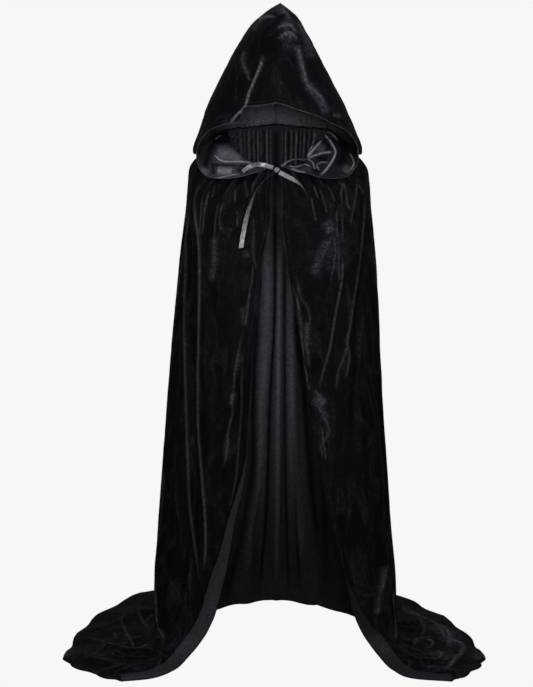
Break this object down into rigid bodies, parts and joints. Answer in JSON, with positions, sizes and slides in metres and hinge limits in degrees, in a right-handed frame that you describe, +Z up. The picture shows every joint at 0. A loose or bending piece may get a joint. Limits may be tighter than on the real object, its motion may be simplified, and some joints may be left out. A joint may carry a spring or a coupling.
{
  "type": "hooded cloak",
  "caption": "Full-length hooded cloak in black crushed velvet, hollow and filled out as worn, with a deep pointed hood, an open front and a satin ribbon tied at the neck.",
  "frame": {"origin": "middle of the neck opening, where the wearer's neck and shoulders hold the cloak, 1.40 m above the floor", "axes": "+Z up, the open front faces -Y, +X is the viewer's right"},
  "size_m": [1.1508, 0.8565, 1.7838],
  "materials": {
    "velvet": "black crushed polyester velvet with a shiny pressed pile outside and its plain dark grey back inside",
    "ribbon": "grey satin ribbon, glossy"
  },
  "bodies": {
    "root": {"body_left": "velvet", "body_right": "velvet", "hood_left": "velvet", "hood_right": "velvet", "tie_run_left": "ribbon", "tie_run_right": "ribbon", "tie_knot": "ribbon", "tie_end_left": "ribbon", "tie_end_right": "ribbon"}
  },
  "joints": []
}
